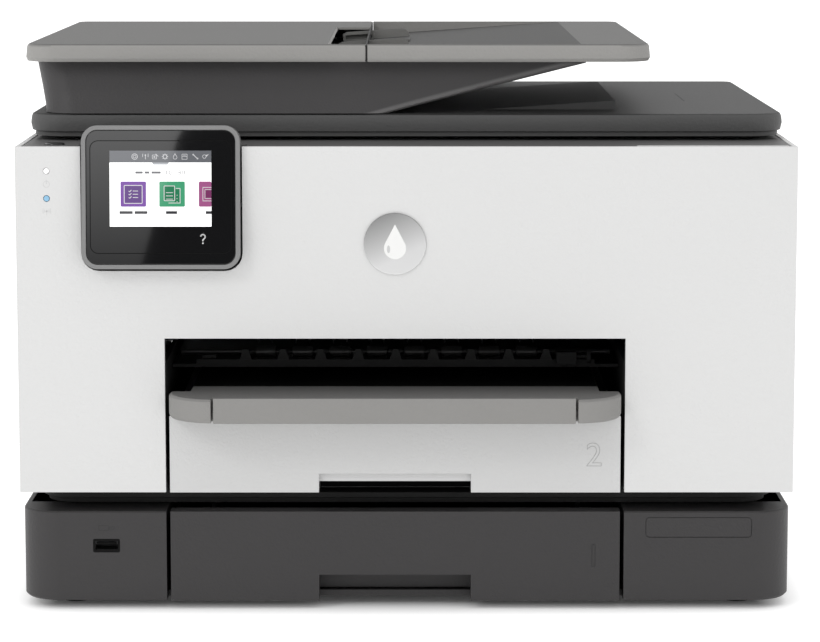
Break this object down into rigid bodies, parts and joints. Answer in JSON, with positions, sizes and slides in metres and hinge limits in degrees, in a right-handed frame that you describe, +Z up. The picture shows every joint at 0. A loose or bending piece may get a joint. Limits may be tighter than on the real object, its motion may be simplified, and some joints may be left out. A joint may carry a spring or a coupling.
{
  "type": "inkjet printer",
  "caption": "Boxy all-in-one inkjet printer with stacked paper trays, tilting touch panel, drop-down front door, flatbed lid and overhanging sheet feeder.",
  "frame": {"origin": "centre of the bounding box footprint on the floor, feet and pulled-in trays included", "axes": "+X to the right as seen from the front, -Y towards the user, +Z up"},
  "size_m": [0.437, 0.396, 0.318],
  "materials": {
    "white_shell": "fine grain",
    "dark_shell": "fine grain",
    "lid_grey": "fine grain",
    "pale_grey": "fine grain",
    "inner_black": "plain moulding",
    "guide_grey": "plain moulding",
    "bezel": "satin",
    "black_gloss": "polished",
    "glass": "clear",
    "steel": "brushed",
    "badge_metal": "satin",
    "rubber": "matt",
    "foam": "soft white foam",
    "lens": "clear lens",
    "ink_black": "satin",
    "ink_cyan": "satin",
    "ink_magenta": "satin",
    "ink_yellow": "satin"
  },
  "bodies": {
    "chassis": {"base_housing": "dark_shell", "usb_socket": "steel", "foot_front_left": "rubber", "foot_rear_left": "rubber", "foot_front_right": "rubber", "foot_rear_right": "rubber", "engine_base": "inner_black", "side_cover_left": "white_shell", "side_cover_right": "white_shell", "rear_cover": "white_shell", "power_inlet": "inner_black", "network_socket": "steel", "engine_frame": "inner_black", "scanner_tub": "inner_black", "scanner_deck": "dark_shell", "scanner_glass": "glass", "feeder_glass": "glass", "platen": "inner_black", "carriage_rail": "steel", "service_station": "inner_black", "lid_hinge_left": "dark_shell", "lid_hinge_right": "dark_shell"},
    "front_door": {"front_door": "white_shell", "light_power": "lens", "light_wireless": "lens", "badge": "badge_metal"},
    "control_panel": {"panel_frame": "bezel", "panel_glass": "black_gloss"},
    "power_button": {"power_button": "black_gloss"},
    "lower_tray": {"lower_tray": "dark_shell"},
    "lower_guide_left": {"lower_tray_width_guide_left": "guide_grey"},
    "lower_guide_right": {"lower_tray_width_guide_right": "guide_grey"},
    "lower_guide_length": {"lower_tray_length_guide": "guide_grey"},
    "upper_tray": {"upper_tray": "white_shell", "output_tray": "pale_grey"},
    "upper_guide_left": {"upper_tray_width_guide_left": "guide_grey"},
    "upper_guide_right": {"upper_tray_width_guide_right": "guide_grey"},
    "upper_guide_length": {"upper_tray_length_guide": "guide_grey"},
    "output_extension": {"output_extension": "pale_grey"},
    "carriage": {"print_carriage": "inner_black", "cartridge_black": "ink_black", "cartridge_cyan": "ink_cyan", "cartridge_magenta": "ink_magenta", "cartridge_yellow": "ink_yellow"},
    "feed_roller": {"feed_roller": "steel"},
    "output_roller": {"output_roller": "rubber"},
    "scan_carriage": {"scan_carriage": "inner_black"},
    "lid": {"lid": "lid_grey", "lid_foam": "foam", "feeder_body": "lid_grey"},
    "feeder_cover": {"feeder_cover": "pale_grey"},
    "input_tray": {"input_tray": "pale_grey"},
    "feeder_guide_front": {"feeder_guide_front": "pale_grey"},
    "feeder_guide_rear": {"feeder_guide_rear": "pale_grey"},
    "feeder_pick_roller": {"feeder_pick_roller": "rubber"},
    "feeder_transport_roller": {"feeder_transport_roller": "rubber"},
    "rear_door": {"rear_door": "dark_shell"}
  },
  "joints": [
    {"name": "front_door_hinge", "type": "hinge", "parent": "chassis", "child": "front_door", "pos_m": [0, -0.1685, 0.0691], "axis": [-1, 0, 0], "range_deg": [-80, 0]},
    {"name": "panel_tilt", "type": "hinge", "parent": "chassis", "child": "control_panel", "pos_m": [-0.13685, -0.1654, 0.2699], "axis": [-1, 0, 0], "range_deg": [0, 42]},
    {"name": "power_press", "type": "slide", "parent": "chassis", "child": "power_button", "axis": [0, 0, -1], "range_m": [0, 0.0008], "stiffness_N_per_m": 400},
    {"name": "lower_tray_slide", "type": "slide", "parent": "chassis", "child": "lower_tray", "axis": [0, -1, 0], "range_m": [0, 0.24]},
    {"name": "lower_width_left", "type": "slide", "parent": "lower_tray", "child": "lower_guide_left", "axis": [1, 0, 0], "range_m": [0, 0.052]},
    {"name": "lower_width_right", "type": "slide", "parent": "lower_tray", "child": "lower_guide_right", "axis": [1, 0, 0], "range_m": [-0.052, 0]},
    {"name": "lower_length", "type": "slide", "parent": "lower_tray", "child": "lower_guide_length", "axis": [0, 1, 0], "range_m": [0, 0.09]},
    {"name": "upper_tray_slide", "type": "slide", "parent": "chassis", "child": "upper_tray", "axis": [0, -1, 0], "range_m": [0, 0.23]},
    {"name": "upper_width_left", "type": "slide", "parent": "upper_tray", "child": "upper_guide_left", "axis": [1, 0, 0], "range_m": [0, 0.052]},
    {"name": "upper_width_right", "type": "slide", "parent": "upper_tray", "child": "upper_guide_right", "axis": [1, 0, 0], "range_m": [-0.052, 0]},
    {"name": "upper_length", "type": "slide", "parent": "upper_tray", "child": "upper_guide_length", "axis": [0, 1, 0], "range_m": [0, 0.09]},
    {"name": "extension_slide", "type": "slide", "parent": "upper_tray", "child": "output_extension", "axis": [0, -1, 0], "range_m": [0, 0.11]},
    {"name": "carriage_travel", "type": "slide", "parent": "chassis", "child": "carriage", "axis": [-1, 0, 0], "range_m": [0, 0.29]},
    {"name": "feed_roller_spin", "type": "hinge", "parent": "chassis", "child": "feed_roller", "pos_m": [0, 0.016, 0.1403], "axis": [1, 0, 0], "continuous": true},
    {"name": "output_roller_spin", "type": "hinge", "parent": "chassis", "child": "output_roller", "pos_m": [0, -0.096, 0.1373], "axis": [1, 0, 0], "continuous": true},
    {"name": "scan_travel", "type": "slide", "parent": "chassis", "child": "scan_carriage", "axis": [1, 0, 0], "range_m": [0, 0.36]},
    {"name": "lid_hinge", "type": "hinge", "parent": "chassis", "child": "lid", "pos_m": [0, 0.18, 0.27], "axis": [-1, 0, 0], "range_deg": [0, 65]},
    {"name": "feeder_cover_hinge", "type": "hinge", "parent": "lid", "child": "feeder_cover", "pos_m": [-0.215, 0, 0.3095], "axis": [0, -1, 0], "range_deg": [0, 75]},
    {"name": "input_tray_hinge", "type": "hinge", "parent": "lid", "child": "input_tray", "pos_m": [-0.0223, 0, 0.318], "axis": [0, -1, 0], "range_deg": [0, 28]},
    {"name": "feeder_width_front", "type": "slide", "parent": "input_tray", "child": "feeder_guide_front", "axis": [0, 1, 0], "range_m": [-0.04, 0.018]},
    {"name": "feeder_width_rear", "type": "slide", "parent": "input_tray", "child": "feeder_guide_rear", "axis": [0, 1, 0], "range_m": [-0.018, 0.04]},
    {"name": "transport_spin", "type": "hinge", "parent": "lid", "child": "feeder_transport_roller", "pos_m": [-0.1198, 0.02525, 0.3023], "axis": [0, 1, 0], "continuous": true},
    {"name": "pick_spin", "type": "hinge", "parent": "lid", "child": "feeder_pick_roller", "pos_m": [-0.0658, 0.02525, 0.3043], "axis": [0, 1, 0], "continuous": true},
    {"name": "rear_door_hinge", "type": "hinge", "parent": "chassis", "child": "rear_door", "pos_m": [0, 0.187, 0.08], "axis": [-1, 0, 0], "range_deg": [0, 75]}
  ],
  "couplings": [
    {"joint": "lower_width_right", "follows": "lower_width_left", "ratio": -1},
    {"joint": "upper_width_right", "follows": "upper_width_left", "ratio": -1},
    {"joint": "feeder_width_rear", "follows": "feeder_width_front", "ratio": -1},
    {"joint": "output_roller_spin", "follows": "feed_roller_spin", "ratio": 1.4},
    {"joint": "pick_spin", "follows": "transport_spin", "ratio": 1.375}
  ]
}
